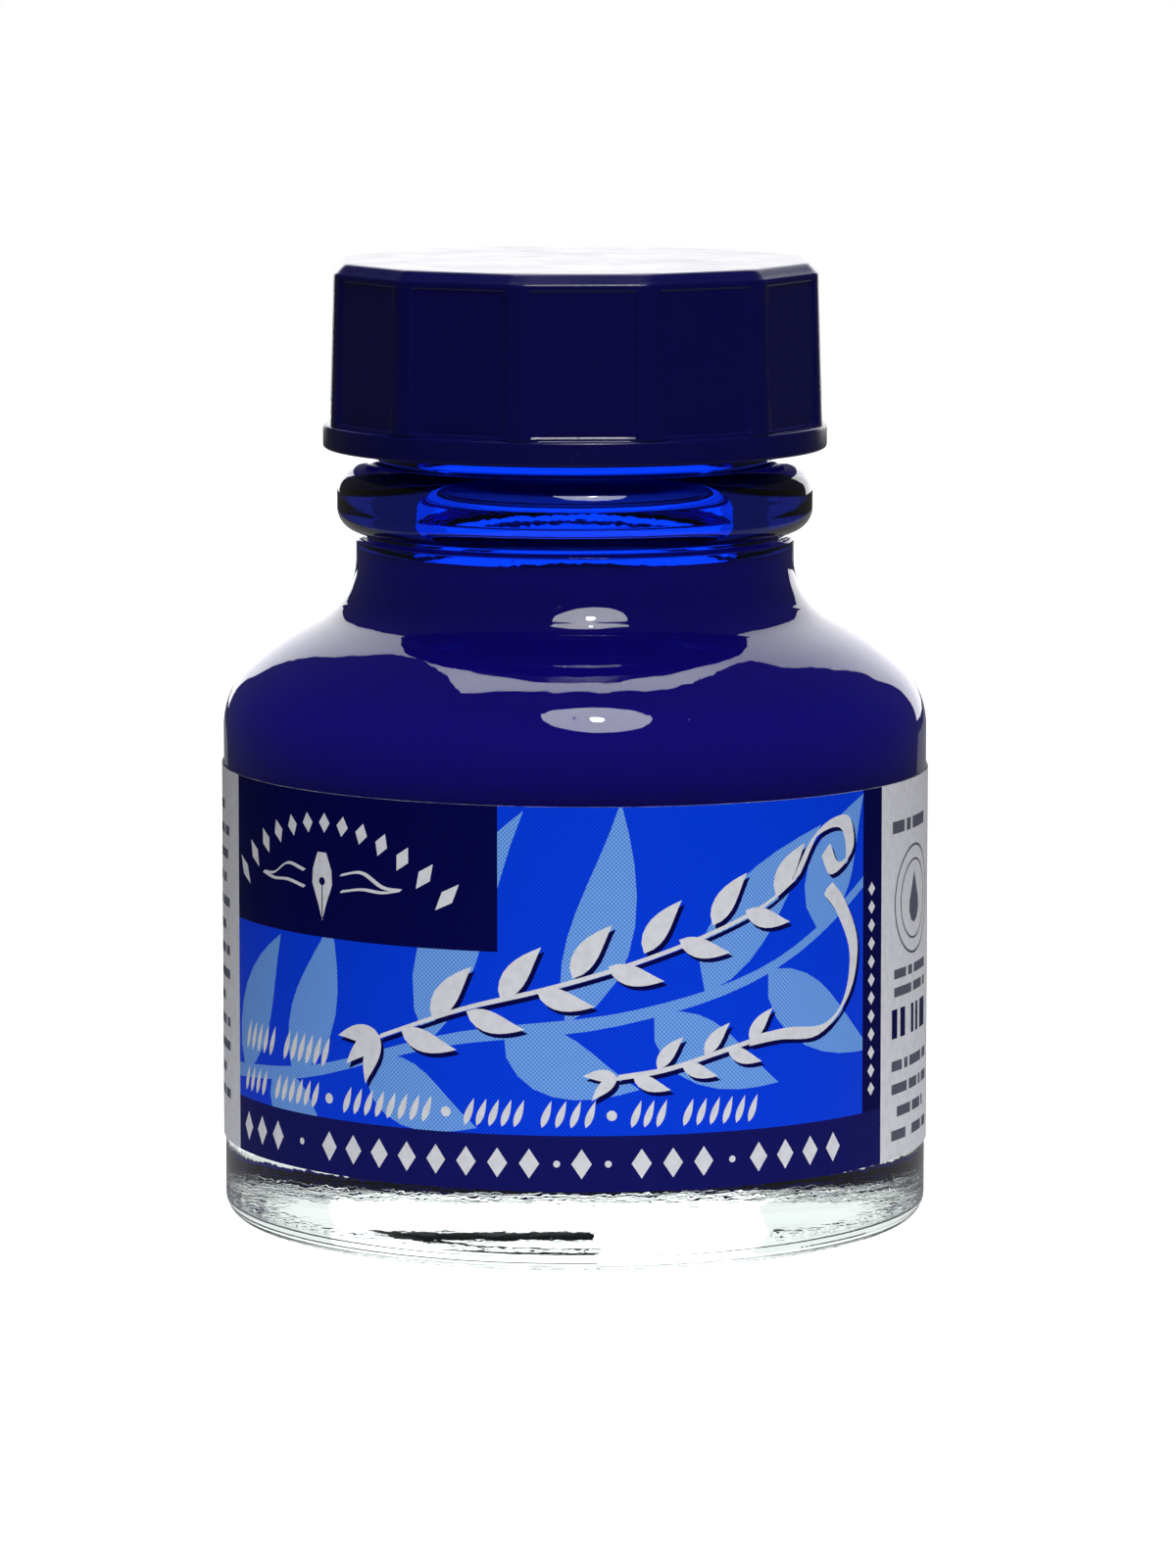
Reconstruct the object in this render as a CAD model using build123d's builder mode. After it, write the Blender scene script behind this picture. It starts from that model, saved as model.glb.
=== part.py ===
from build123d import *

import os
from math import cos, radians, sin, tan

# Ink bottle: a moulded glass bottle with a threaded neck, the ink in it, a paper label wrapped
# round its body, a twelve-sided screw cap and the foam wad that the cap presses on the mouth.
# Millimetres, +Z up. The origin is on the bottle's axis, on the surface that it stands on.

# ---- Glass bottle ----
body_radius = 20.5
body_height = 31.82  # up to the corner between the wall and the shoulder's slope
body_wall = 2.25
base_thickness = 4.5
push_up = 0.5  # depth of the dish under the base
bearing_width = 6.5  # ring that the bottle stands on, measured in from the wall
heel_fillet = 1.3
shoulder_angle = 29.2  # above the horizontal
shoulder_wall = 2.5  # square to the slope
shoulder_low_turn = 47.0  # degrees of the round that starts from the wall
shoulder_low_fillet = 4.6
shoulder_high_fillet = 15.7  # slower round from there to the slope
near_meeting = 0.999  # share of the slower round that leaves a hair's breadth between the two
neck_fillet = 4.0
floor_fillet = 4.0
inner_shoulder_fillet = 2.6
inner_neck_fillet = 4.0
inner_flare_fillet = 6.0

neck_step = 1.24  # from the finish's radius out to the neck's
neck_wall = 2.54
neck_length = 3.62
neck_edge_fillet = 0.2
groove_depth = 0.5
groove_width = 0.32
bead_step = 2.34  # from the finish's radius out to the bead's
bead_height = 4.0
bead_fillet = 1.75
finish_height = 9.3  # threaded stretch, from the bead to the mouth
finish_radius = 11.5  # wall that the thread stands on
finish_wall = 2.25
finish_root_fillet = 0.3
rim_fillet = 0.6

# ---- Thread: one start, right-hand, the same helix on the bottle and in the cap ----
thread_pitch = 3.0
thread_turns = 1.4
thread_height = 1.0
thread_lead_in = 3.3  # from the bead to the middle of the bottle's ridge at its lower end
flank_angle = 27.0
bottle_crest_width = 0.9
cap_crest_width = 0.75
thread_radial_gap = 0.25  # crest of one thread to the wall of the other
thread_axial_gap = 0.15  # between the flanks that bear when the cap is tight
thread_fade = 50.0  # degrees over which a ridge rises from its wall
thread_sink = 0.3  # how far a ridge's root lies inside its wall
sections_per_turn = 18

# ---- Screw cap ----
grip_sides = 12
grip_turn = 2.0  # one flat faces this many degrees from -Y towards +X
grip_draft = 1.6
grip_corner_fillet = 2.6
cap_wall = 1.45  # at the flats' foot
cap_depth = 9.48
cap_top_thickness = 1.36
cap_top_chamfer = 0.6
panel_depth = 0.1  # of the shallow panel in each flat
panel_side = 0.1  # from the panel to the round of the corner
panel_head = 0.35  # from the panel to the chamfer
panel_foot = 0.2  # from the panel to the flange
flange_overhang = 0.45  # beyond the flats' foot
flange_height = 1.45
flange_fillet = 0.2
cap_bore_fillet = 0.4

# ---- Wad, ink and label ----
wad_thickness = 1.0
wad_side_gap = 0.3
wad_edge_fillet = 0.15
seat_gap = 0.02  # between faces that rest on each other
headspace = 14.8  # from the mouth down to the ink
ink_gap = 0.02
label_thickness = 0.1
label_gap = 0.02
label_foot = 4.71  # from the base to the label's lower edge
label_head = 2.25  # from the label's upper edge to the start of the shoulder's round
label_seam_angle = 10.0  # bare strip between the label's ends
label_seam_turn = 84.0  # middle of that strip, from +X towards +Y

# ---- Sizes that follow ----
neck_radius = finish_radius + neck_step
bead_radius = finish_radius + bead_step
slope = radians(shoulder_angle)
flank = radians(flank_angle)


def slope_height(radius, depth):
    """Height of the shoulder's slope at a radius, at a depth into the glass square to the slope."""
    return body_height + (body_radius - radius) * tan(slope) - depth / cos(slope)


cavity_radius = body_radius - body_wall
floor_height = push_up + base_thickness
bearing_inner = body_radius - bearing_width
neck_inner_radius = neck_radius - neck_wall
mouth_radius = finish_radius - finish_wall
groove_radius = neck_radius - groove_depth
groove_bottom = slope_height(neck_radius, 0) + neck_length
bead_bottom = groove_bottom + groove_width
bead_top = bead_bottom + bead_height
bead_round = min(bead_fillet, 0.48 * bead_height)
mouth_height = bead_top + finish_height
ink_height = mouth_height - headspace

low_turn = radians(shoulder_low_turn)
high_turn = radians(90) - slope - low_turn
neck_turn = radians(90) - slope
shoulder_rounds = shoulder_low_fillet * tan(low_turn / 2) + shoulder_high_fillet * tan(high_turn / 2)
slope_rounds = shoulder_high_fillet * tan(high_turn / 2) + neck_fillet * tan(neck_turn / 2)
rounds_width = shoulder_rounds * sin(low_turn) + slope_rounds * cos(slope)
round_share = min(1, 0.98 * (body_radius - neck_radius) / rounds_width)  # less on a narrow shoulder
low_round = round_share * shoulder_low_fillet
high_round = round_share * shoulder_high_fillet
neck_round = round_share * neck_fillet
low_reach = low_round * tan(low_turn / 2)
shoulder_reach = low_reach + high_round * tan(high_turn / 2)
shoulder_radius = body_radius - shoulder_reach * sin(low_turn)
shoulder_height = slope_height(shoulder_radius, 0)
wall_corner = shoulder_height - shoulder_reach * cos(low_turn)
wall_top = wall_corner - low_reach

cap_bore_radius = finish_radius + thread_height + thread_radial_gap
cap_crest_radius = finish_radius + thread_radial_gap
cap_ceiling = mouth_height + wad_thickness + 2 * seat_gap
cap_bottom = cap_ceiling - cap_depth
cap_height = cap_depth + cap_top_thickness
grip_apothem = cap_bore_radius + cap_wall
bottle_thread_start = bead_top + thread_lead_in
shared_height = finish_radius + thread_height - cap_crest_radius  # where the two ridges overlap
thread_offset = (
    (bottle_crest_width + cap_crest_width) / 2 + shared_height * tan(flank) + thread_axial_gap
)


def cavity_outline(gap):
    """Draws half the space inside the bottle, with every wall moved inwards by a gap."""
    shoulder = cavity_radius - gap
    neck = neck_inner_radius - gap
    mouth = mouth_radius - gap
    FilletPolyline(
        (0, floor_height + gap),
        (shoulder, floor_height + gap),
        (shoulder, slope_height(shoulder, shoulder_wall + gap)),
        (neck, slope_height(neck, shoulder_wall + gap)),
        (mouth, bead_bottom),
        (mouth, mouth_height),
        radius=[floor_fillet, inner_shoulder_fillet, inner_neck_fillet, inner_flare_fillet],
    )
    Polyline((mouth, mouth_height), (0, mouth_height), (0, floor_height + gap))


def is_upright(face):
    """Whether a face of the cap stands on its flange."""
    return face.center().Z > cap_bottom + flange_height and abs(face.normal_at().Z) < 0.5


def radial_plane(angle, height=0.0):
    """A plane through the axis: its x points outwards at an angle from +X, and its y points up."""
    outwards = Vector(cos(radians(angle)), sin(radians(angle)), 0)
    return Plane(origin=(0, 0, height), x_dir=outwards, z_dir=(outwards.Y, -outwards.X, 0))


def thread_ridge(wall_radius, crest_radius, crest_width, start_height):
    """A helical ridge on a round wall, outwards or inwards, that dies into the wall at its ends."""
    side = 1 if crest_radius > wall_radius else -1
    root_radius = wall_radius - side * thread_sink
    root_width = crest_width + 2 * abs(crest_radius - root_radius) * tan(flank)
    total = 360 * thread_turns
    count = round(sections_per_turn * thread_turns)
    with BuildPart() as ridge:
        for step in range(count + 1):
            turned = total * step / count
            rise = min(1, turned / thread_fade, (total - turned) / thread_fade)
            height = thread_sink / 2 + (abs(crest_radius - wall_radius) + thread_sink / 2) * rise
            top_radius = root_radius + side * height
            top_width = root_width - 2 * height * tan(flank)
            with BuildSketch(radial_plane(turned, start_height + thread_pitch * turned / 360)):
                with BuildLine():
                    Polyline(
                        (root_radius, -root_width / 2),
                        (top_radius, -top_width / 2),
                        (top_radius, top_width / 2),
                        (root_radius, root_width / 2),
                        close=True,
                    )
                make_face()
        loft()
    return ridge.part


# ---- Bottle ----
bottle_thread = thread_ridge(
    finish_radius, finish_radius + thread_height, bottle_crest_width, bottle_thread_start
)

with BuildPart() as bottle:
    with BuildSketch(Plane.XZ):
        with BuildLine():
            TangentArc((0, push_up), (bearing_inner, 0), tangent=(1, 0))
            FilletPolyline(
                (bearing_inner, 0),
                (body_radius, 0),
                (body_radius, wall_corner),
                (shoulder_radius, shoulder_height),
                (neck_radius, slope_height(neck_radius, 0)),
                (neck_radius, groove_bottom),
                (groove_radius, groove_bottom),
                (groove_radius, bead_bottom),
                (bead_radius, bead_bottom),
                (bead_radius, bead_top),
                (finish_radius, bead_top),
                (finish_radius, mouth_height),
                (0, mouth_height),
                radius=[
                    heel_fillet,
                    low_round,
                    high_round * near_meeting,
                    neck_round,
                    neck_edge_fillet,
                    0,
                    0,
                    min(bead_round, 0.97 * (bead_radius - groove_radius)),
                    bead_round,
                    finish_root_fillet,
                    0,
                ],
            )
            Line((0, mouth_height), (0, push_up))
        make_face()
        with BuildLine():
            cavity_outline(0)
        make_face(mode=Mode.SUBTRACT)
    revolve(axis=Axis.Z)
    mouth_face = bottle.faces().sort_by(Axis.Z)[-1]
    fillet(mouth_face.edges(), radius=min(rim_fillet, 0.4 * finish_wall))
    add(bottle_thread)

# ---- Ink ----
with BuildPart() as ink:
    with BuildSketch(Plane.XZ):
        with BuildLine():
            cavity_outline(ink_gap)
        make_face()
        Rectangle(body_radius, ink_height, align=(Align.MIN, Align.MIN), mode=Mode.INTERSECT)
    revolve(axis=Axis.Z)

# ---- Label ----
with BuildPart() as label:
    with BuildSketch(radial_plane(label_seam_turn + label_seam_angle / 2)):
        with Locations((body_radius + label_gap, label_foot)):
            Rectangle(
                label_thickness, wall_top - label_head - label_foot, align=(Align.MIN, Align.MIN)
            )
    revolve(axis=Axis.Z, revolution_arc=360 - label_seam_angle)

# ---- Cap ----
cap_thread = thread_ridge(
    cap_bore_radius, cap_crest_radius, cap_crest_width, bottle_thread_start - thread_offset
)

with BuildPart() as cap:
    with BuildSketch(Plane.XY.offset(cap_bottom)):
        Circle(grip_apothem + flange_overhang)
    extrude(amount=flange_height)
    fillet(cap.edges().filter_by(GeomType.CIRCLE), radius=flange_fillet)
    for rise in (0, cap_height - flange_height):
        inwards = rise * tan(radians(grip_draft))
        with BuildSketch(Plane.XY.offset(cap_bottom + flange_height + rise)):
            RegularPolygon(
                grip_apothem - inwards,
                grip_sides,
                major_radius=False,
                rotation=grip_turn - 90 + 180 / grip_sides,
            )
            fillet(vertices(), radius=grip_corner_fillet - inwards)
    loft(ruled=True)
    chamfer(cap.faces().sort_by(Axis.Z)[-1].edges(), length=cap_top_chamfer)
    for flat in cap.faces().filter_by(is_upright).group_by(SortBy.AREA, tol_digits=1)[-1]:
        outwards = flat.normal_at()
        width = flat.edges().sort_by(Axis.Z)[-1].length - 2 * panel_side
        height = flat.area / (width + 2 * panel_side) - panel_head - panel_foot
        along = Vector(-outwards.Y, outwards.X, 0)
        with BuildSketch(Plane(flat.center(), x_dir=along, z_dir=outwards)):
            with Locations((0, (panel_foot - panel_head) / 2)):
                Rectangle(width, height)
        extrude(amount=-panel_depth, mode=Mode.SUBTRACT)
    with BuildSketch(Plane.XZ):
        with BuildLine():
            FilletPolyline(
                (0, cap_bottom),
                (cap_bore_radius, cap_bottom),
                (cap_bore_radius, cap_ceiling),
                (0, cap_ceiling),
                radius=[0, min(cap_bore_fillet, wad_side_gap + wad_edge_fillet)],
            )
            Line((0, cap_ceiling), (0, cap_bottom))
        make_face()
    revolve(axis=Axis.Z, mode=Mode.SUBTRACT)
    add(cap_thread)

# ---- Wad ----
with BuildPart() as wad:
    with BuildSketch(Plane.XY.offset(mouth_height + seat_gap)):
        Circle(cap_bore_radius - wad_side_gap)
    extrude(amount=wad_thickness)
    fillet(wad.edges().filter_by(GeomType.CIRCLE), radius=wad_edge_fillet)

# ---- Files ----
pieces = {"bottle": bottle, "ink": ink, "label": label, "cap": cap, "wad": wad}
os.makedirs("parts", exist_ok=True)
for name, piece in pieces.items():
    piece.part.label = name
    export_step(piece.part, f"parts/{name}.step")
    print(name, round(piece.part.volume / 1000, 3), "ml")
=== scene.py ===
from math import atan2, ceil, cos, hypot, pi, radians, sin, sqrt, tan

import bpy
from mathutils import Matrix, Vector
from mathutils.geometry import delaunay_2d_cdt


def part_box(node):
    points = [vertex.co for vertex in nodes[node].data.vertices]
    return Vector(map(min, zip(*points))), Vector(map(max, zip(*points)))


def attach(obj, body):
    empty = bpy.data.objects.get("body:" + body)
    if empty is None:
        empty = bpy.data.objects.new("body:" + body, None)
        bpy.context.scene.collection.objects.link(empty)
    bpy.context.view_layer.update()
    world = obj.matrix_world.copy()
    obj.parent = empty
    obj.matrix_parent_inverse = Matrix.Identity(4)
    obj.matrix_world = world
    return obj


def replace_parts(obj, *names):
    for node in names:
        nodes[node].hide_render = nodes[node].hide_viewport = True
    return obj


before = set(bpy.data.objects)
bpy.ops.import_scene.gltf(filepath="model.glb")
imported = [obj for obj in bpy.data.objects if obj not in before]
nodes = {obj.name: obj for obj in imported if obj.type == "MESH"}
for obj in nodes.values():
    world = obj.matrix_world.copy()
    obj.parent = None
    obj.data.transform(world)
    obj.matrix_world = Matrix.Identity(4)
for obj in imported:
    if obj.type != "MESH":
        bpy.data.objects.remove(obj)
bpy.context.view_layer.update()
scene = bpy.context.scene

MM = 0.001
around = 192  # faces round a turned surface

# ---- Sizes in millimetres, as in the CAD model ----
glass_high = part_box("bottle")[1] / MM
ink_low, ink_high = (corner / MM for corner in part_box("ink"))
label_low, label_high = (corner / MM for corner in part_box("label"))
cap_low, cap_high = (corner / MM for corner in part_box("cap"))

body_radius = glass_high.x
mouth_height = glass_high.z
ink_height = ink_high.z
body_height = 31.82  # up to the corner between the wall and the shoulder's slope
body_wall = 2.25
heel_round = 1.3
floor_round = 4.0
shoulder_slope = radians(29.2)
shoulder_wall = 2.5
shoulder_low_turn = radians(47)  # of the round that starts from the wall
shoulder_low_round = 4.6
shoulder_high_round = 15.7  # slower round from there to the slope
inner_shoulder_round = 2.6
neck_round = 4.0
neck_radius = 12.74
neck_wall = 2.54
neck_length = 3.62
groove_depth = 0.5
groove_width = 0.32
bead_radius = 13.84
bead_height = 4.0
finish_radius = 11.5
finish_wall = 2.25
rim_round = 0.6
push_up = 0.5  # depth of the dish under the base
bearing_inner = 14.0
ink_gap = 0.02  # between the CAD model's ink and glass
floor_height = ink_low.z - ink_gap
seam_height = 36.0  # where the neck's mould meets the body's
glass_ior = 1.52

thread_pitch = 3.0
thread_turns = 1.4
thread_height = 1.0
thread_lead_in = 3.3
thread_flank = radians(27)
bottle_crest_width = 0.9
cap_crest_width = 0.75
thread_offset = 1.357  # from the bottle's ridge down to the cap's

cap_bore = 12.75
cap_ceiling = 54.44
cap_flange_height = 1.45
grip_sides = 12
grip_turn = radians(2)
grip_apothem = 14.2
grip_draft = radians(1.6)
grip_corner = 2.6
grip_chamfer = 0.6
panel_depth = 0.1
panel_side = 0.1
panel_edge = 0.09  # half the width of the round where a panel meets the flat
panel_head = 0.35
panel_foot = 0.2

label_radius = label_high.x
label_thickness = 0.1
label_start = -65.14  # measured round the label from the front, to the right
label_end = 60.82
label_tilt = 0.0058  # the label was put on a little lower at the right


def slope_height(radius, depth=0.0):
    """Height of the shoulder's slope at a radius, at a depth into the glass."""
    rise = (body_radius - radius) * tan(shoulder_slope)
    return body_height + rise - depth / cos(shoulder_slope)


groove_bottom = slope_height(neck_radius) + neck_length
bead_bottom = groove_bottom + groove_width
bead_top = bead_bottom + bead_height
cavity_radius = body_radius - body_wall
neck_inner = neck_radius - neck_wall
mouth_radius = finish_radius - finish_wall


# ---- Outlines and meshes ----
def turned(vector, angle):
    """A flat vector turned anticlockwise."""
    c, s = cos(angle), sin(angle)
    return Vector((c * vector.x - s * vector.y, s * vector.x + c * vector.y))


def run(start, end, step):
    """Points after start, up to end, on a straight line. None if the two are one point."""
    length = (end - start).length
    count = ceil(length / step) if length > 1e-3 else 0
    return [start.lerp(end, k / count) for k in range(1, count + 1)]


def rounded(corners, run_step=1.0, arc_step=radians(6)):
    """Points along an outline of (x, z, radius) corners, with arcs at the corners."""
    points = [Vector(corners[0][:2])]
    for before, corner, after in zip(corners, corners[1:], corners[2:]):
        here = Vector(corner[:2])
        arriving = (here - Vector(before[:2])).normalized()
        leaving = (Vector(after[:2]) - here).normalized()
        turn = arriving.angle_signed(leaving)
        reach = corner[2] * tan(abs(turn) / 2)
        start = here - arriving * reach
        points += run(points[-1], start, run_step)
        if corner[2] == 0:
            continue
        side = Vector((-arriving.y, arriving.x)) * (-1 if turn > 0 else 1)
        centre = start + side * corner[2]
        steps = max(2, ceil(abs(turn) / arc_step))
        for step in range(1, steps + 1):
            points.append(centre + turned(start - centre, -turn * step / steps))
    return points + run(points[-1], Vector(corners[-1][:2]), run_step)


def dish(depth, reach, count=8):
    """A spherical dish from the axis out to its rim, which lies at height 0."""
    radius = (reach * reach + depth * depth) / (2 * depth)
    outs = [reach * k / count for k in range(count + 1)]
    return [Vector((out, depth - radius + sqrt(radius * radius - out * out))) for out in outs]


def circle(radius, height, angles):
    return [Vector((radius * cos(angle), radius * sin(angle), height)) for angle in angles]


def new_piece(name, verts, faces, materials, slots):
    """A smooth mesh object from vertices in millimetres."""
    mesh = bpy.data.meshes.new(name)
    mesh.from_pydata([v * MM for v in verts], [], faces)
    for made in materials:
        mesh.materials.append(made)
    mesh.polygons.foreach_set("use_smooth", [True] * len(mesh.polygons))
    mesh.polygons.foreach_set("material_index", slots)
    piece = bpy.data.objects.new(name, mesh)
    scene.collection.objects.link(piece)
    return piece


def loft(name, rings, materials, slot_of=lambda row: 0):
    """A closed surface through rings of points. The first and last ring are single points."""
    verts = [point for ring in rings for point in ring]
    count = len(rings[1])
    faces, slots = [], []
    first = 1
    for k in range(count):
        faces.append((0, first + (k + 1) % count, first + k))
        slots.append(slot_of(0))
    for row in range(1, len(rings) - 2):
        above = first + count
        for k in range(count):
            following = (k + 1) % count
            faces.append((first + k, first + following, above + following, above + k))
            slots.append(slot_of(row))
        first = above
    last = len(verts) - 1
    for k in range(count):
        faces.append((last, first + k, first + (k + 1) % count))
        slots.append(slot_of(len(rings) - 2))
    piece = new_piece(name, verts, faces, materials, slots)
    piece.modifiers.new("normals", "WEIGHTED_NORMAL")
    return piece


def lathe(name, outline, materials, swell=lambda radius, height, angle: 0.0, slot_of=lambda row: 0):
    """A solid of revolution from an outline that starts and ends on the axis."""
    angles = [2 * pi * k / around for k in range(around)]
    rings = []
    for point in outline[1:-1]:
        ring = []
        for angle in angles:
            ring += circle(point.x + swell(point.x, point.y, angle), point.y, [angle])
        rings.append(ring)
    ends = [[Vector((0, 0, point.y))] for point in (outline[0], outline[-1])]
    return loft(name, [ends[0], *rings, ends[1]], materials, slot_of)


def ridge(height, angle, start, crest_width):
    """How far a thread stands out of its wall at a height and an angle."""
    best = 0.0
    for lap in range(2):
        turns = angle % (2 * pi) / (2 * pi) + lap
        if turns > thread_turns:
            continue
        fade = min(1, turns * 360 / 50, (thread_turns - turns) * 360 / 50)
        away = abs(height - start - thread_pitch * turns)
        out = thread_height - max(0, away - crest_width / 2) / tan(thread_flank)
        best = max(best, min(out, thread_height * fade))
    return best


# ---- Shader helpers ----
def material(name):
    """A new material, its node tree and its main shader."""
    made = bpy.data.materials.new(name)
    made.use_nodes = True
    tree = made.node_tree
    return made, tree, tree.nodes["Principled BSDF"]


def set_inputs(shader, **values):
    for key, value in values.items():
        shader.inputs[key.replace("_", " ")].default_value = value


def colour(red, green, blue):
    """A colour for a socket, from the 0 to 255 that a screen shows."""
    linear = [((part / 255 + 0.055) / 1.055) ** 2.4 if part > 10 else part / 255 / 12.92
              for part in (red, green, blue)]
    return (*linear, 1)


def math(tree, operation, first, second=0.0):
    node = tree.nodes.new("ShaderNodeMath")
    node.operation = operation
    for socket, value in zip(node.inputs, (first, second)):
        if isinstance(value, (int, float)):
            socket.default_value = value
        else:
            tree.links.new(value, socket)
    return node.outputs[0]


def noise(tree, size, detail=2.0, stretch=(1, 1, 1)):
    """Smooth noise with features of about a size in millimetres."""
    place = tree.nodes.new("ShaderNodeTexCoord").outputs["Object"]
    mapping = tree.nodes.new("ShaderNodeMapping")
    mapping.inputs["Scale"].default_value = stretch
    tree.links.new(place, mapping.inputs["Vector"])
    node = tree.nodes.new("ShaderNodeTexNoise")
    node.inputs["Scale"].default_value = 1 / (size * MM)
    node.inputs["Detail"].default_value = detail
    tree.links.new(mapping.outputs[0], node.inputs["Vector"])
    return node.outputs["Fac"]


def specks(tree, spacing, size):
    """1 on small round specks that lie about a spacing apart, and 0 between them."""
    place = tree.nodes.new("ShaderNodeTexCoord").outputs["Object"]
    node = tree.nodes.new("ShaderNodeTexVoronoi")
    node.inputs["Scale"].default_value = 1 / (spacing * MM)
    tree.links.new(place, node.inputs["Vector"])
    return ramp(tree, node.outputs["Distance"], size / spacing, size / spacing / 2)


def ramp(tree, value, low, high):
    """0 where a value is low or less, 1 where it is high or more, and smooth between."""
    node = tree.nodes.new("ShaderNodeMapRange")
    node.interpolation_type = "SMOOTHSTEP"
    low, high, out = (low, high, (0, 1)) if low < high else (high, low, (1, 0))
    for key, number in zip(("From Min", "From Max", "To Min", "To Max"), (low, high, *out)):
        node.inputs[key].default_value = number
    tree.links.new(value, node.inputs["Value"])
    return node.outputs["Result"]


def mix(tree, factor, first, second):
    """A colour between two colours."""
    node = tree.nodes.new("ShaderNodeMix")
    node.data_type = "RGBA"
    tree.links.new(factor, node.inputs["Factor"])
    for key, value in (("A", first), ("B", second)):
        if isinstance(value, tuple):
            node.inputs[key].default_value = value
        else:
            tree.links.new(value, node.inputs[key])
    return node.outputs["Result"]


def bump(tree, shader, height, depth):
    """Raises a surface by up to a depth in millimetres where the height is 1."""
    node = tree.nodes.new("ShaderNodeBump")
    node.inputs["Distance"].default_value = depth * MM
    tree.links.new(height, node.inputs["Height"])
    if shader.inputs["Normal"].is_linked:
        tree.links.new(shader.inputs["Normal"].links[0].from_socket, node.inputs["Normal"])
    tree.links.new(node.outputs["Normal"], shader.inputs["Normal"])


# ---- Glass ----
def waves(tree, shader):
    """The waviness, pits and mould seam of moulded glass, and the stipple that it stands on."""
    bump(tree, shader, noise(tree, 7.0, 0.0), 0.03)
    bump(tree, shader, noise(tree, 1.1, 2.0), 0.009)
    bump(tree, shader, specks(tree, 2.6, 0.1), 0.02)
    place = tree.nodes.new("ShaderNodeTexCoord").outputs["Object"]
    parts = tree.nodes.new("ShaderNodeSeparateXYZ")
    tree.links.new(place, parts.inputs[0])
    height = parts.outputs["Z"]
    away = math(tree, "ABSOLUTE", math(tree, "SUBTRACT", height, seam_height * MM))
    bump(tree, shader, ramp(tree, away, 0.16 * MM, 0.02 * MM), 0.012)
    standing = ramp(tree, height, 0.25 * MM, 0.05 * MM)
    bump(tree, shader, math(tree, "MULTIPLY", standing, noise(tree, 0.7, 1.0)), 0.2)


def glass_material():
    """Clear glass with a faint green tinge in its depth."""
    made, tree, shader = material("clear_glass")
    set_inputs(shader, Base_Color=(0.97, 0.99, 0.975, 1), Roughness=0.0, IOR=glass_ior,
               Transmission_Weight=1.0)
    waves(tree, shader)
    tinge = tree.nodes.new("ShaderNodeVolumeAbsorption")
    tinge.inputs["Color"].default_value = (0.5, 0.92, 0.78, 1)
    tinge.inputs["Density"].default_value = 4.0
    tree.links.new(tinge.outputs[0], tree.nodes["Material Output"].inputs["Volume"])
    return made


def stained_material():
    """The wall above the ink, with a film of ink on it. The film colours what passes through and
    darkens what the wall reflects inside the glass."""
    made, tree, unused = material("ink_stained_glass")
    tree.nodes.remove(unused)
    mirror = tree.nodes.new("ShaderNodeFresnel")
    mirror.inputs["IOR"].default_value = glass_ior
    either = tree.nodes.new("ShaderNodeMixShader")
    tree.links.new(ramp(tree, mirror.outputs["Fac"], 0.5, 0.9), either.inputs["Fac"])
    for place, kind, tint in ((1, "ShaderNodeBsdfRefraction", (0.01, 0.17, 0.86, 1)),
                              (2, "ShaderNodeBsdfGlass", (0.003, 0.006, 0.09, 1))):
        film = tree.nodes.new(kind)
        film.inputs["Color"].default_value = tint
        film.inputs["IOR"].default_value = glass_ior
        film.inputs["Roughness"].default_value = 0.0
        tree.links.new(film.outputs[0], either.inputs[place])
    tree.links.new(either.outputs[0], tree.nodes["Material Output"].inputs["Surface"])
    return made


def bottle_swell(radius, height, angle):
    """How far the bottle's thread stands out of its finish."""
    on_finish = radius > finish_radius - 0.001
    if on_finish and bead_top + 0.3 < height < mouth_height - 0.6:
        return ridge(height, angle, bead_top + thread_lead_in, bottle_crest_width)
    return 0.0


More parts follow.
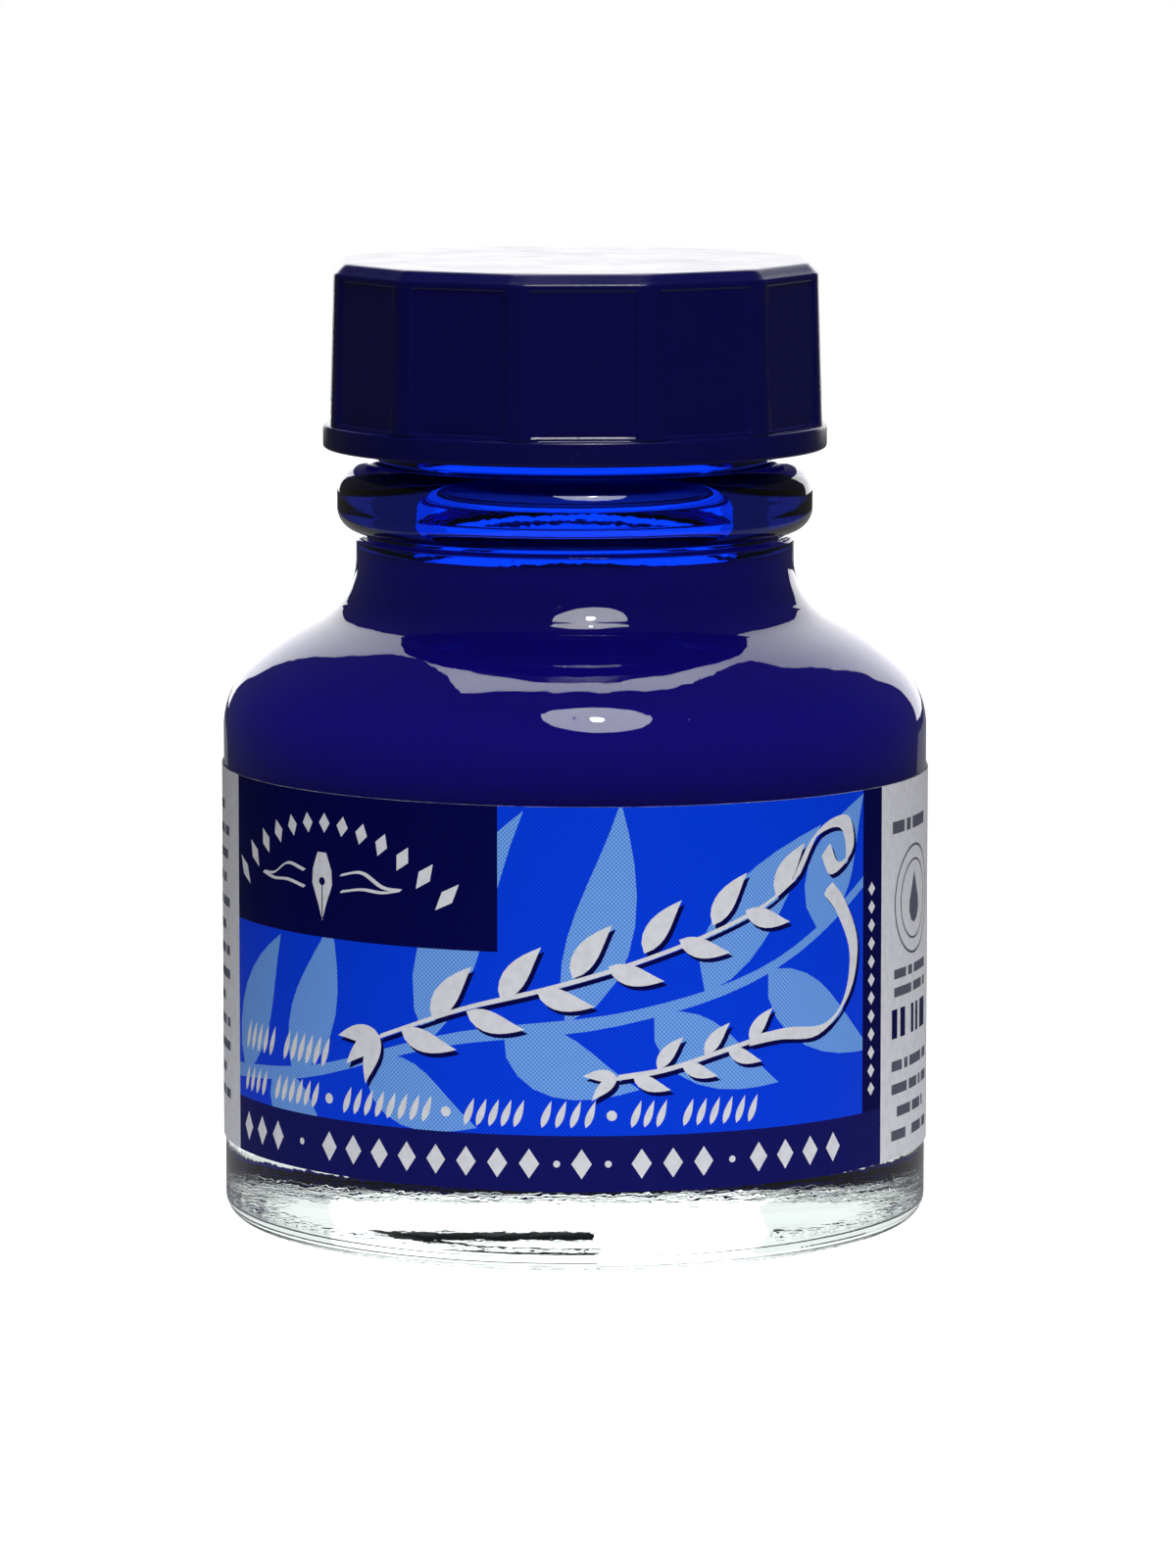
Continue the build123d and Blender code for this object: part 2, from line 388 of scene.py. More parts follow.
def make_bottle():
    high_turn = radians(90) - shoulder_slope - shoulder_low_turn
    low_reach = shoulder_low_round * tan(shoulder_low_turn / 2)
    between = low_reach + shoulder_high_round * tan(high_turn / 2)
    shoulder_radius = body_radius - between * sin(shoulder_low_turn)
    shoulder_height = slope_height(shoulder_radius)
    rim_foot = mouth_height - rim_round - 0.1
    outer = dish(push_up, bearing_inner) + rounded([
        (bearing_inner, 0, 0),
        (body_radius, 0, heel_round),
        (body_radius, shoulder_height - between * cos(shoulder_low_turn), shoulder_low_round),
        (shoulder_radius, shoulder_height, shoulder_high_round),
        (neck_radius, slope_height(neck_radius), neck_round),
        (neck_radius, groove_bottom, 0.2),
        (neck_radius - groove_depth, groove_bottom, 0.1),
        (neck_radius - groove_depth, bead_bottom, 0.1),
        (bead_radius, bead_bottom, 1.4),
        (bead_radius, bead_top, 1.75),
        (finish_radius, bead_top, 0.3),
        (finish_radius, bead_top + 0.4, 0),
    ], arc_step=radians(2))[1:]
    finish = run(outer[-1], Vector((finish_radius, rim_foot)), 0.12)
    inner = rounded([
        (finish_radius, rim_foot, 0),
        (finish_radius, mouth_height, rim_round),
        (mouth_radius, mouth_height, rim_round),
        (mouth_radius, bead_bottom, 6.0),
        (neck_inner, slope_height(neck_inner, shoulder_wall), neck_round),
        (cavity_radius, slope_height(cavity_radius, shoulder_wall), inner_shoulder_round),
        (cavity_radius, floor_height, floor_round),
        (0, floor_height, 0),
    ], arc_step=radians(3))[1:]
    outline = outer + finish + inner
    clear_rows = 24  # of the rim's outer round, where the film of ink ends
    film_start = len(outer) + len(finish) + clear_rows

    def slot_of(row):
        return 1 if row >= film_start and outline[row].y > ink_height else 0

    return lathe("glass_bottle", outline, [glass_material(), stained_material()],
                 swell=bottle_swell, slot_of=slot_of)


# ---- Ink ----
def ink_material(name, gloss):
    """Ink as it shows through the glass, or with gloss where it lies open to the air."""
    made, tree, shader = material(name)
    set_inputs(shader, Base_Color=(0.0058, 0.0026, 0.165, 1), Roughness=0.05, IOR=1.34,
               Specular_IOR_Level=gloss)
    return made


def make_ink():
    bite = 0.05  # overlap with the glass, so that no air shows between the two
    bottom = floor_height + ink_gap
    shoulder, neck = cavity_radius + bite, neck_inner + bite
    flare = (bead_bottom - ink_height) / (bead_bottom - slope_height(neck_inner, shoulder_wall))
    top_radius = mouth_radius + (neck_inner - mouth_radius) * flare + bite
    outline = rounded([
        (0, bottom, 0),
        (cavity_radius - ink_gap, bottom, floor_round),
        (shoulder, bottom + 6, 0),
        (shoulder, slope_height(shoulder, shoulder_wall - bite), inner_shoulder_round),
        (neck, slope_height(neck, shoulder_wall - bite), neck_round),
        (top_radius, ink_height + 0.3, 0),
        (top_radius - 0.8, ink_height, 0.6),
        (0, ink_height, 0),
    ])
    top_start = next(row for row, point in enumerate(outline) if point.y > ink_height)
    return lathe("ink_fill", outline,
                 [ink_material("ink_liquid", 0.0), ink_material("ink_surface", 0.5)],
                 slot_of=lambda row: 1 if row >= top_start else 0)


# ---- Cap ----
def cap_material():
    """Moulded plastic with a fine grain, scuffs and a few scratches."""
    made, tree, shader = material("cap_plastic")
    set_inputs(shader, IOR=1.49, Specular_IOR_Level=0.3)
    scuffed = ramp(tree, noise(tree, 0.25, 3.0), 0.66, 0.74)
    worn = math(tree, "MULTIPLY", scuffed, ramp(tree, noise(tree, 6.0, 1.0), 0.5, 0.7))
    tree.links.new(mix(tree, math(tree, "MULTIPLY", worn, 0.5), colour(13, 11, 80),
                       colour(60, 60, 120)), shader.inputs["Base Color"])
    tree.links.new(math(tree, "MULTIPLY_ADD", noise(tree, 3.0, 2.0), 0.12),
                   shader.inputs["Roughness"])
    shader.inputs["Roughness"].links[0].from_node.inputs[2].default_value = 0.15
    bump(tree, shader, noise(tree, 0.16, 1.0), 0.003)
    bump(tree, shader, ramp(tree, noise(tree, 1.2, 0.0, (1, 1, 0.12)), 0.74, 0.78), 0.006)
    return made


def grip_ring(apothem, height, recess):
    """A twelve-sided ring with round corners, whose flats lie deeper by a recess."""
    flat_half = (grip_apothem - grip_corner) * tan(pi / grip_sides)
    panel_half = flat_half - panel_side
    corner = grip_corner - (grip_apothem - apothem)
    laterals = [panel_half + panel_edge * k / 2 for k in range(2, -3, -1)] + [2.4, 1.6, 0.8, 0]
    laterals += [-lateral for lateral in reversed(laterals[:-1])]
    ring = []
    for side in range(grip_sides):
        facing = grip_turn - pi / 2 + 2 * pi * side / grip_sides
        for lateral in reversed(laterals):
            inside = min(1, max(0, (panel_half + panel_edge - abs(lateral)) / (2 * panel_edge)))
            depth = recess * inside * inside * (3 - 2 * inside)
            ring.append(turned(Vector((apothem - depth, lateral)), facing).to_3d())
        for step in range(7):
            swing = 2 * pi / grip_sides * step / 6
            reach = Vector((grip_apothem - grip_corner + corner * cos(swing),
                            flat_half + corner * sin(swing)))
            ring.append(turned(reach, facing).to_3d())
    for point in ring:
        point.z = height
    return ring


def grip_rings():
    """The grip's rings from the flange up to the flat top."""
    foot = cap_low.z + cap_flange_height
    head = cap_high.z - grip_chamfer
    low, high = foot + panel_foot, head - panel_head
    levels = [(foot, 0), (foot + 0.08, 0)]
    levels += [(low + panel_edge * k / 2, (k + 2) / 4) for k in range(-2, 3)]
    levels += [(low + (high - low) * k / 9, 1) for k in range(1, 9)]
    levels += [(high - panel_edge * k / 2, (k + 2) / 4) for k in range(2, -3, -1)]
    levels.append((head - 0.08, 0))
    rings = []
    for height, share in levels:
        apothem = grip_apothem - (height - foot) * tan(grip_draft)
        recess = panel_depth * share * share * (3 - 2 * share)
        rings.append(grip_ring(apothem, height, recess))
    top = grip_apothem - (head - foot) * tan(grip_draft)
    # The chamfer round the top, with its two edges rounded
    for inwards, up in ((0.02, 0.0), (0.08, 0.05), (0.3, 0.28), (0.52, 0.5), (0.6, 0.575),
                        (0.7, 0.6)):
        rings.append(grip_ring(top - inwards, head + up, 0))
    return rings


def make_cap():
    grip = grip_rings()
    angles = [atan2(point.y, point.x) for point in grip[0]]
    flange = rounded([
        (cap_bore + 0.1, cap_low.z, 0),
        (cap_high.x, cap_low.z, 0.2),
        (cap_high.x, cap_low.z + cap_flange_height, 0.2),
        (grip_apothem, cap_low.z + cap_flange_height, 0),
    ])[:-1]
    ceiling = rounded([
        (0, cap_ceiling, 0),
        (cap_bore, cap_ceiling, 0.4),
        (cap_bore, cap_ceiling - 0.6, 0),
    ], run_step=3.0)
    wall = run(ceiling[-1], Vector((cap_bore, cap_low.z + 0.1)), 0.15)
    start = bead_top + thread_lead_in - thread_offset
    rings = [[Vector((0, 0, cap_ceiling))]]
    rings += [circle(point.x, point.y, angles) for point in ceiling[1:]]
    for point in wall:
        ring = []
        for angle in angles:
            ring += circle(cap_bore - ridge(point.y, angle, start, cap_crest_width), point.y, [angle])
        rings.append(ring)
    rings += [circle(point.x, point.y, angles) for point in flange]
    rings += grip
    rings += [circle(radius, cap_high.z, angles) for radius in (12.3, 9, 6, 3)]
    rings.append([Vector((0, 0, cap_high.z))])
    return loft("screw_cap", rings, [cap_material()])


def wad_material():
    """Fine closed-cell foam."""
    made, tree, shader = material("wad_foam")
    set_inputs(shader, Roughness=0.85, Specular_IOR_Level=0.3)
    tree.links.new(mix(tree, noise(tree, 0.5), (0.62, 0.61, 0.57, 1), (0.84, 0.83, 0.8, 1)),
                   shader.inputs["Base Color"])
    bump(tree, shader, noise(tree, 0.3, 3.0), 0.03)
    return made


# ---- Printed label ----
class Print:
    """Flat shapes on the unrolled label, in millimetres. A later shape covers an earlier one."""

    def __init__(self):
        self.shapes = []

    def shape(self, ink, outline):
        points = [Vector(point) for point in outline]
        area = sum(a.x * b.y - b.x * a.y for a, b in zip(points, points[1:] + points[:1]))
        self.shapes.append((ink, points if area > 0 else points[::-1]))

    def block(self, ink, left, right, low, high):
        self.shape(ink, [(left, low), (right, low), (right, high), (left, high)])

    def disc(self, ink, centre, radius, count=24):
        """A round or oval disc. The radius is a number or a pair."""
        wide, tall = radius if isinstance(radius, tuple) else (radius, radius)
        turns = [2 * pi * k / count for k in range(count)]
        self.shape(ink, [(centre[0] + wide * cos(t), centre[1] + tall * sin(t)) for t in turns])

    def lozenge(self, ink, centre, width, height, turn=0.0):
        ends = [(-width / 2, 0), (0, -height / 2), (width / 2, 0), (0, height / 2)]
        self.shape(ink, [Vector(centre) + turned(Vector(end), turn) for end in ends])

    def stroke(self, ink, points, pen, shift=(0, 0)):
        """A stroke of a broad pen along a smooth path. The pen is its width, thickness and angle."""
        path = smooth([Vector(point) + Vector(shift) for point in points])
        sides, last = ([], []), len(path) - 1
        for k, point in enumerate(path):
            ahead = (path[min(k + 1, last)] - path[max(k - 1, 0)]).normalized()
            normal = Vector((-ahead.y, ahead.x))
            offset = nib_reach(pen, normal)
            sides[0].append(point - offset)
            sides[1].append(point + offset)
            if k in (0, last):
                tip = nib_reach(pen, ahead if k else -ahead)
                (sides[1] if k else sides[0]).insert(len(sides[1]) if k else 0, point + tip)
        self.shape(ink, sides[0] + sides[1][::-1])

    def leaf(self, ink, root, turn, length, width, bend=0.25, shift=(0, 0)):
        """A leaf like the mark of a pressed pen: from its root, it swells, bends and tapers."""
        root = Vector(root) + Vector(shift)
        sides = ([], [])
        for k in range(9):
            share = k / 8
            half = width / 2 * sin(pi * share ** 0.75)
            middle = Vector((length * share, bend * length * share * share))
            normal = Vector((-2 * bend * share, 1)).normalized()
            for side, way in zip(sides, (-1, 1)):
                side.append(root + turned(middle + normal * half * way, turn))
        self.shape(ink, sides[0] + sides[1][-2:0:-1])


def smooth(points, steps=6):
    """Points on a smooth curve through a few points."""
    ends = [2 * points[0] - points[1], *points, 2 * points[-1] - points[-2]]
    path = []
    for a, b, c, d in zip(ends, ends[1:], ends[2:], ends[3:]):
        for k in range(steps):
            t = k / steps
            path.append(0.5 * (2 * b + (c - a) * t + (2 * a - 5 * b + 4 * c - d) * t * t
                               + (3 * b - a - 3 * c + d) * t ** 3))
    return path + [points[-1]]


def nib_reach(pen, way):
    """The furthest point of an oval pen tip in a direction."""
    width, thickness, angle = pen
    local = turned(way, -angle)
    wide, thin = width / 2 * local.x, thickness / 2 * local.y
    size = hypot(wide, thin)
    return turned(Vector((width / 2 * wide, thickness / 2 * thin)) / size, angle)


front_left, front_right = -25.1, 20.95
strip_left = 19.0
band_top = 7.9
block_right, block_low = -4.35, 18.25
label_bottom, label_top = label_low.z, label_high.z


def draw_field(sheet):
    """Blue ground with a giant pale branch, framed by darker blocks and white paper."""
    sheet.block("blue", front_left, strip_left, band_top, label_top)
    stem = [(-27, 9.2), (-17, 10.4), (-7, 13.2), (3, 14.6), (12, 17.2), (21, 22.5)]
    sheet.stroke("pale blue", stem, (1.7, 0.5, radians(28)))
    for root, turn, length, bend in (
        ((-24.0, 9.4), 74, 9.5, -0.2), ((-18.5, 10.2), 58, 9.5, 0.2), ((-8.5, 12.8), 84, 14.0, -0.3),
        ((-0.5, 14.3), 62, 12.5, 0.25), ((7.5, 15.8), 66, 11.5, -0.3), ((15.0, 19.0), 78, 8.0, -0.3),
        ((-20.5, 10.0), -52, 6.5, 0.3), ((-12.5, 11.8), -44, 7.5, 0.3), ((-4.0, 13.8), -40, 8.0, 0.3),
        ((4.5, 14.8), -46, 8.5, 0.3), ((11.5, 17.0), -50, 9.5, 0.3),
    ):
        sheet.leaf("pale blue", root, radians(turn), length, 3.6, bend)
    sheet.block("paper", label_start, front_left, label_bottom, label_top)
    sheet.block("paper", front_right, label_end, label_bottom, label_top)
    sheet.block("navy", front_left, block_right, block_low, label_top)
    sheet.block("navy band", front_left, front_right, label_bottom, band_top)
    sheet.block("navy", strip_left, front_right, band_top, label_top)


def draw_emblem(sheet):
    """A pen nib under an arch of lozenges, between two thin flourishes."""
    centre, count = -15.6, 13
    for k in range(count):
        share = 2 * k / (count - 1) - 1
        height = 24.8 - 3.6 * share * share
        tall = 1.15 + 0.95 * share * share
        sheet.lozenge("paper", (centre + 8.3 * share, height), 0.85, tall, -0.75 * share)
    nib = [(-0.35, 1.9), (0.35, 1.9), (0.75, 0.9), (0.8, 0.1), (0.3, -1.1), (0, -2.0),
           (-0.3, -1.1), (-0.8, 0.1), (-0.75, 0.9)]
    middle = Vector((centre - 0.2, 21.2))
    sheet.shape("paper", [middle + Vector(point) for point in nib])
    sheet.disc("navy", middle + Vector((0, 0.25)), 0.24, 12)
    sheet.block("navy", middle.x - 0.04, middle.x + 0.04, middle.y - 1.9, middle.y + 0.1)
    fine = (0.26, 0.1, radians(35))
    for way in (-1, 1):
        for up in (0.75, -0.2):
            points = [(1.5, up), (3.0, up + 0.25), (4.4, 0.05 + up / 3), (5.6, 0.2)]
            sheet.stroke("paper", [middle + Vector((x * way, y)) for x, y in points], fine)


def draw_sprays(sheet):
    """Two leafy pen flourishes with a dark shadow, rising to the right."""
    pen = (0.95, 0.2, radians(42))
    hair = (0.5, 0.16, radians(42))
    strokes = [
        ([(-11.6, 13.0), (-6.5, 14.9), (-2.0, 16.1), (2.5, 17.4), (7.0, 18.9), (11.0, 20.5),
          (13.4, 22.0)], hair),
        ([(13.4, 22.0), (15.0, 24.4), (17.2, 24.9), (17.7, 23.1), (16.4, 22.3), (15.7, 23.4)], pen),
        ([(2.4, 11.2), (5.2, 11.6), (8.2, 12.4), (10.6, 13.0)], hair),
        ([(10.6, 13.0), (12.6, 13.2), (15.4, 13.2), (17.5, 14.9), (18.1, 17.6), (17.0, 20.0),
          (15.9, 21.2)], pen),
    ]
    leaves = [((-11.6, 13.0), turn, 2.9) for turn in (172, 205, 238)]
    for k in range(12):
        share = k / 11
        root = (-10.2 + 22.2 * share, 13.55 + 6.9 * share + 0.7 * share * share)
        leaves.append((root, 66 if k % 2 else -28, 3.9 - 0.5 * share - 0.4 * (k % 2 == 0)))
    leaves += [((2.4, 11.2), turn, 1.9) for turn in (165, 210)]
    for k in range(6):
        leaves.append(((3.3 + 1.4 * k, 11.3 + 0.33 * k), 62 if k % 2 else -34, 2.3))
    for ink, shift in (("shadow", (0.2, -0.24)), ("paper", (0, 0))):
        for points, size in strokes:
            sheet.stroke(ink, points, size, shift)
        for root, turn, length in leaves:
            bend = -0.22 if 0 < turn < 90 else 0.22
            sheet.leaf(ink, root, radians(turn), length, 0.36 * length, bend, shift)


def draw_dabs(sheet, left, right, low, height, pitch=0.74):
    """A row of equal pen dabs that all lean the same way."""
    count = round((right - left) / pitch)
    for k in range(count):
        foot = left + (k + 0.3) * (right - left) / count
        sheet.leaf("paper", (foot, low), radians(70), height, 0.42, 0.0)


def draw_rows(sheet):
    """Pen dabs where a label lists colours, and lozenges along the band and the strip."""
    for left, right in ((-24.0, -20.3), (-19.5, -15.4)):
        draw_dabs(sheet, left, right, 10.8, 1.9)
    for left, right in ((-24.2, -21.2), (-20.4, -16.2), (-14.4, -8.3), (-6.5, -2.9), (-2.1, 1.2),
                        (3.0, 5.2), (6.0, 10.8)):
        draw_dabs(sheet, left, right, 8.35, 1.65)
    for middle in (-15.3, -7.4, 2.1):
        sheet.disc("paper", (middle, 9.05), 0.3, 12)
    for first, count in ((-23.6, 3), (-15.3, 8), (0.4, 1), (3.8, 3), (10.9, 4)):
        for k in range(count):
            sheet.lozenge("paper", (first + 1.82 * k, 6.3), 1.15, 1.7)
    for middle in (-17.6, -1.0, 1.9, 9.2):
        sheet.disc("paper", (middle, 6.3), 0.2, 10)
    for k in range(12):
        sheet.lozenge("paper", ((strip_left + front_right) / 2 - 0.1, 9.2 + 1.05 * k), 0.72, 0.8)


def draw_lines(sheet, left, right, top, count, pitch, height, words=5):
    """Grey rules in place of small print, each broken into a few dashes."""
    for line in range(count):
        low = top - pitch * line - height
        at = left
        for word in range(words):
            share = 1 + 0.6 * sin(2.3 * line + 4.1 * word)
            step = (right - left) / words * share
            end = min(right, at + step)
            if end - at > 0.8:
                sheet.block("grey", at, end - 0.35, low, low + height)
            at = end


def draw_drop(sheet, ink, centre, size):
    """A drop of ink."""
    outline = [(0, 1.5), (0.35, 0.8), (0.72, 0.1), (0.8, -0.45), (0.5, -0.95), (0, -1.15),
               (-0.5, -0.95), (-0.8, -0.45), (-0.72, 0.1), (-0.35, 0.8)]
    sheet.shape(ink, [Vector(centre) + size * Vector(point) for point in reversed(outline)])


def draw_sides(sheet):
    """Small print, rings and drops on the white paper beside the front and behind."""
    draw_lines(sheet, 22.3, 28.5, 24.3, 1, 1, 0.7, 3)
    for radius, ink in ((3.2, "grey"), (3.05, "paper"), (2.35, "grey"), (2.22, "paper")):
        sheet.disc(ink, (25.8, 19.5), radius, 48)
    draw_drop(sheet, "grey", (25.8, 19.4), 1.15)
    draw_lines(sheet, 22.6, 29.0, 15.7, 2, 1.05, 0.55, 3)
    for left, wide in ((22.3, 0.75), (23.5, 0.75), (25.3, 0.5), (26.2, 0.5), (27.2, 1.4)):
        sheet.block("navy", left, left + wide, 11.7, 13.4)
    draw_lines(sheet, 22.3, 29.6, 10.4, 4, 1.35, 0.6, 4)
    draw_lines(sheet, 33.0, 58.0, 24.6, 9, 1.3, 0.5, 7)
    sheet.block("blue", 33.0, 44.0, 6.4, 11.0)
    sheet.block("pale blue", 44.6, 50.6, 6.4, 11.0)
    draw_drop(sheet, "navy", (55.2, 8.8), 1.5)
    draw_lines(sheet, -62.5, -45.5, 24.6, 13, 1.4, 0.55, 5)
    draw_lines(sheet, -43.0, -26.9, 24.6, 13, 1.4, 0.55, 5)


def print_materials():
    """Coated paper and the inks printed on it."""
    inks = {
        "paper": (colour(238, 239, 246), None),
        "blue": (colour(0, 54, 230), colour(4, 76, 250)),
        "pale blue": (colour(78, 142, 244), colour(144, 194, 254)),
        "navy": (colour(4, 5, 80), None),
        "navy band": (colour(20, 22, 104), None),
        "shadow": (colour(4, 5, 80), None),
        "grey": (colour(98, 100, 118), None),
    }
    made = {}
    for name, (first, second) in inks.items():
        made[name], tree, shader = material("print_" + name.replace(" ", "_"))
        set_inputs(shader, Roughness=0.45, Specular_IOR_Level=0.05)
        if second is None:
            second = tuple(part * 0.9 for part in first[:3]) + (1,)
            factor = ramp(tree, noise(tree, 0.5, 3.0), 0.35, 0.75)
        else:
            factor = screen(tree)
        tree.links.new(mix(tree, factor, first, second), shader.inputs["Base Color"])
        bump(tree, shader, noise(tree, 0.35, 3.0), 0.002)
    return made


def screen(tree, pitch=0.24):
    """The dots of a printer's screen, laid round the label."""
    place = tree.nodes.new("ShaderNodeTexCoord").outputs["Object"]
    parts = tree.nodes.new("ShaderNodeSeparateXYZ")
    tree.links.new(place, parts.inputs[0])
    angle = math(tree, "ARCTAN2", parts.outputs["X"], math(tree, "MULTIPLY", parts.outputs["Y"], -1.0))
    frequency = 2 * pi / pitch
    along = math(tree, "SINE", math(tree, "MULTIPLY", angle, label_radius * frequency))
    up = math(tree, "SINE", math(tree, "MULTIPLY", parts.outputs["Z"], frequency / MM))
    return ramp(tree, math(tree, "MULTIPLY", along, up), -0.5, 0.6)


def label_faces(sheet):
    """Flat triangles of the label's shapes, each with the ink of the topmost shape over it."""
    verts, edges, faces = [], [], []
    for ink, outline in sheet.shapes:
        first = len(verts)
        verts += outline
        faces.append(list(range(first, first + len(outline))))
    turns = ceil((label_end - label_start) / 0.9)
    for k in range(1, turns):
        along = label_start + (label_end - label_start) * k / turns
        edges.append((len(verts), len(verts) + 1))
        verts += [Vector((along, label_bottom)), Vector((along, label_top))]
    result = delaunay_2d_cdt(verts, edges, faces, 1, 1e-5)
    points, triangles, sources = result[0], result[2], result[5]
    kept = [(face, max(source)) for face, source in zip(triangles, sources) if 0 in source]
    return points, kept


def make_label():
    """The paper wrapped round the body: its printed face, its plain back and its cut edges."""
    sheet = Print()
    sheet.block("paper", label_start, label_end, label_bottom, label_top)
    for draw in (draw_field, draw_rows, draw_emblem, draw_sprays, draw_sides):
        draw(sheet)
    points, kept = label_faces(sheet)
    used = sorted({index for face, _ in kept for index in face})
    place = {index: k for k, index in enumerate(used)}
    verts, normals = [], []
    for radius in (label_radius, label_radius - label_thickness):
        for index in used:
            along, height = points[index]
            angle = along / label_radius
            outwards = Vector((sin(angle), -cos(angle), 0))
            verts.append(outwards * radius + Vector((0, 0, height - label_tilt * radius * outwards.x)))
            normals.append(outwards)
    made = print_materials()
    names = list(made)
    count = len(used)
    faces, slots, rim = [], [], {}
    for face, source in kept:
        front = [place[index] for index in face]
        faces.append(front)
        slots.append(names.index(sheet.shapes[source][0]))
        for a, b in zip(front, front[1:] + front[:1]):
            rim[a, b] = (b, a) not in rim
            if not rim[a, b]:
                del rim[a, b], rim[b, a]
    faces += [[index + count for index in reversed(face)] for face in faces]
    slots += [names.index("paper")] * len(kept)
    for a, b in rim:
        faces.append([b, a, a + count, b + count])
        slots.append(names.index("paper"))
    piece = new_piece("printed_label", verts, faces, list(made.values()), slots)
    corners = [normals[index] for face in faces for index in face]
    piece.data.normals_split_custom_set(corners)
    return piece


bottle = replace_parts(make_bottle(), "bottle")
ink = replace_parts(make_ink(), "ink")
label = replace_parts(make_label(), "label")
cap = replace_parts(make_cap(), "cap")
for piece, body, slot in ((bottle, "bottle", "clear_glass"), (ink, "bottle", "blue_ink"),
                          (label, "bottle", "printed_label"), (cap, "cap", "navy_plastic")):
    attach(piece, body)
nodes["wad"].data.materials.clear()
nodes["wad"].data.materials.append(wad_material())


# ---- Studio ----
floor_drop = 0.00005  # metres, so that the floor and the bottle's base don't share a plane
aim = Vector((0, 0, 0.03))  # what the lamps point at
lamps_way = Vector((0.1, -0.5, 0.87)).normalized()


def sheet_of_light(name, faces, light):
    """A staged object of one or more flat faces. The light is a function that wires its shader."""
    mesh = bpy.data.meshes.new(name)
    verts = [corner for face in faces for corner in face]
    starts = [sum(len(face) for face in faces[:k]) for k in range(len(faces))]
    mesh.from_pydata(verts, [], [range(at, at + len(face)) for at, face in zip(starts, faces)])
    made, tree, shader = material(name + "_cloth")
    set_inputs(shader, Specular_IOR_Level=0.0, Roughness=0.8, Emission_Strength=1.0)
    light(tree, shader)
    mesh.materials.append(made)
    piece = bpy.data.objects.new(name, mesh)
    scene.collection.objects.link(piece)
    return piece


def looked_at(tree):
    """1 where the camera looks, directly or through the glass, and 0 for light and reflections."""
    path = tree.nodes.new("ShaderNodeLightPath")
    return math(tree, "MAXIMUM", path.outputs["Is Camera Ray"], path.outputs["Is Transmission Ray"])


def floor():
    """White paper that glows where the camera sees it, directly or through the glass. Mirrored in
    the glass it is dim, so that its front edge doesn't show there."""
    outline = [(-0.045, -0.14), (0.045, -0.14), (0.075, 0), (0.11, 0.12), (0.13, 0.21), (0.11, 0.6),
               (-0.11, 0.6), (-0.095, 0.21), (-0.08, 0.1), (-0.06, 0)]

    def light(tree, shader):
        path = tree.nodes.new("ShaderNodeLightPath")
        mirrored = math(tree, "MULTIPLY", path.outputs["Is Glossy Ray"], path.outputs["Is Reflection Ray"])
        tree.links.new(mix(tree, mirrored, (0.9, 0.9, 0.9, 1), (0.15, 0.15, 0.15, 1)),
                       shader.inputs["Base Color"])
        tree.links.new(mix(tree, looked_at(tree), (0.12, 0.12, 0.12, 1), (1, 1, 1, 1)),
                       shader.inputs["Emission Color"])

    sheet_of_light("floor", [[(x, y, -floor_drop) for x, y in outline]], light)


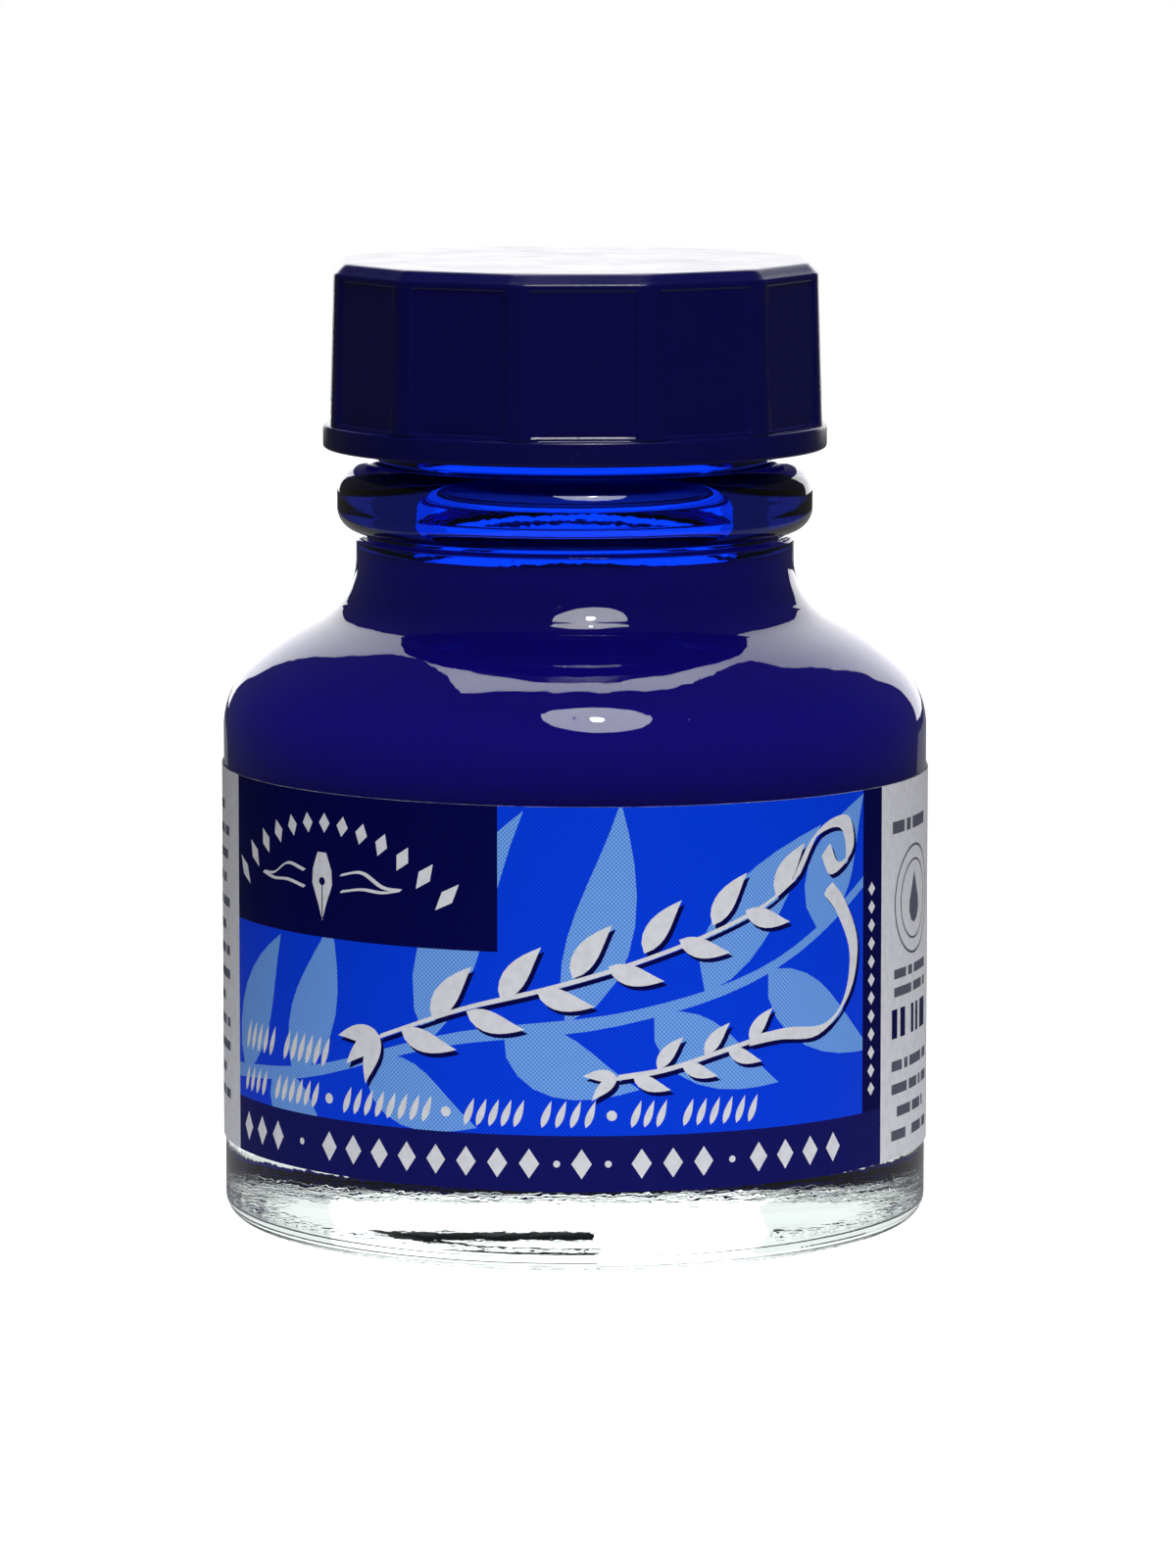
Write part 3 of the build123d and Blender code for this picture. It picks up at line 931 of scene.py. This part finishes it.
def canopy():
    """A white cloth that hangs behind the bottle and bends forward above it. Its uneven outline is
    what the bright patches on the shoulder take their shapes from."""
    above = [(-0.168, 0.054), (-0.124, 0.04), (-0.037, 0.017), (0.045, 0.017), (0.133, 0.056),
             (0.164, 0.109), (0.19, 0.2), (0.222, 0.333), (0.292, 0.363), (0.41, 0.6), (-0.34, 0.6),
             (-0.296, 0.512), (-0.227, 0.393), (-0.195, 0.313), (-0.175, 0.196)]
    behind = [(-0.21, 0), (0.365, 0), (0.36, 0.36), (0.41, 0.5), (-0.34, 0.5), (-0.29, 0.32),
              (-0.235, 0.14)]

    def light(tree, shader):
        set_inputs(shader, Base_Color=(0, 0, 0, 1))
        place = tree.nodes.new("ShaderNodeTexCoord").outputs["Object"]
        parts = tree.nodes.new("ShaderNodeSeparateXYZ")
        tree.links.new(place, parts.inputs[0])
        back = ramp(tree, parts.outputs["Y"], 0.06, 0.35)
        bright = mix(tree, back, (4.5, 4.5, 4.5, 1), (2, 2, 2, 1))
        mirrored = tree.nodes.new("ShaderNodeLightPath").outputs["Is Glossy Ray"]
        shown = math(tree, "MAXIMUM", mirrored, looked_at(tree))
        tree.links.new(mix(tree, shown, (1.2, 1.2, 1.2, 1), bright), shader.inputs["Emission Color"])

    faces = [[(x, y, 0.5) for x, y in above], [(x, 0.6, z) for x, z in behind]]
    sheet_of_light("canopy", faces, light).visible_camera = False


def lamp(name, distance, width, height, radiance):
    """An oval soft light that faces the bottle. Radiance 1 is as bright as the render's white."""
    light = bpy.data.lights.new(name, "AREA")
    light.shape = "ELLIPSE"
    light.size, light.size_y = width, height
    light.energy = radiance * (width * height * pi / 4) * pi
    made = bpy.data.objects.new(name, light)
    made.location = aim + lamps_way * distance
    made.rotation_euler = (-lamps_way).to_track_quat("-Z", "Y").to_euler()
    made.visible_camera = False
    scene.collection.objects.link(made)


def surroundings():
    """White where the camera looks past the floor or through the glass, and dim for the rest."""
    world = bpy.data.worlds.new("studio")
    scene.world = world
    world.use_nodes = True
    tree = world.node_tree
    tree.links.new(mix(tree, looked_at(tree), (0.05, 0.05, 0.05, 1), (1, 1, 1, 1)),
                   tree.nodes["Background"].inputs["Color"])


floor()
canopy()
surroundings()
lamp("umbrella", 0.8, 0.39, 0.57, 7.0)
lamp("lamp", 0.75, 0.045, 0.09, 100)

# The camera looks down a little at the bottle's front
camera_tilt = 0.1284
camera = bpy.data.objects.new("camera", bpy.data.cameras.new("camera"))
camera.data.lens = 178.7
camera.data.sensor_width = 36
camera.location = (0.00076, -0.4511, 0.0834)
camera.rotation_euler = (pi / 2 - camera_tilt, 0, 0)
scene.collection.objects.link(camera)
scene.camera = camera
scene.view_settings.view_transform = "Standard"
